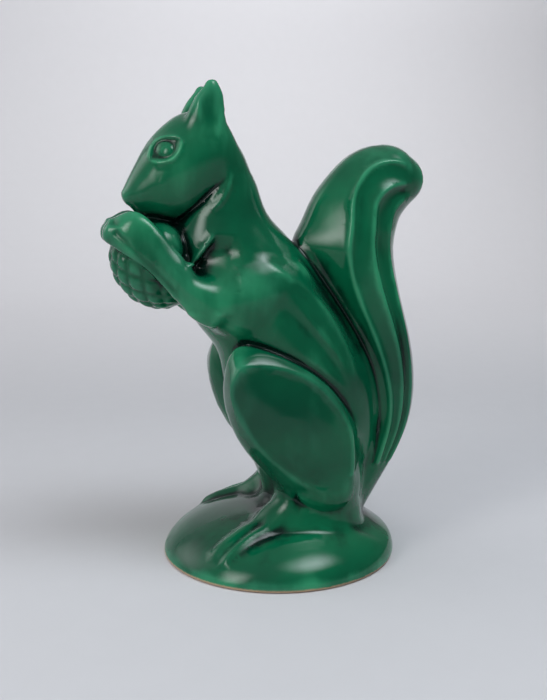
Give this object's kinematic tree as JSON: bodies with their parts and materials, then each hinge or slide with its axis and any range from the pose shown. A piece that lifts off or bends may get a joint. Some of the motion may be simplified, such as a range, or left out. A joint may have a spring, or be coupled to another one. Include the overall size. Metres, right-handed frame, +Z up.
{
  "type": "squirrel money box",
  "caption": "Glazed pottery money box shaped as a sitting squirrel nibbling a pine cone, with a coin slot down the back of its tail and a rubber stopper under its round base.",
  "frame": {"origin": "on the table, under the middle of the object's bounding box", "axes": "+Z up, the squirrel faces -X with its tail towards +X, and its left side is -Y"},
  "size_m": [0.1508, 0.113, 0.2195],
  "materials": {
    "glaze": "glossy deep green lead-style glaze, darker where it pools in creases and thinner on edges",
    "stopper_rubber": "matt black moulded rubber"
  },
  "bodies": {
    "figure": {"plinth": "glaze", "body_shell": "glaze", "head": "glaze", "ear_left": "glaze", "ear_right": "glaze", "arm_left": "glaze", "arm_right": "glaze", "pine_cone": "glaze", "haunch_left": "glaze", "haunch_right": "glaze", "foot_left": "glaze", "foot_right": "glaze", "tail": "glaze"},
    "plug": {"stopper": "stopper_rubber"}
  },
  "joints": [
    {"name": "stopper_pull", "type": "slide", "parent": "figure", "child": "plug", "axis": [0, 0, -1], "range_m": [0, 0.045]}
  ]
}
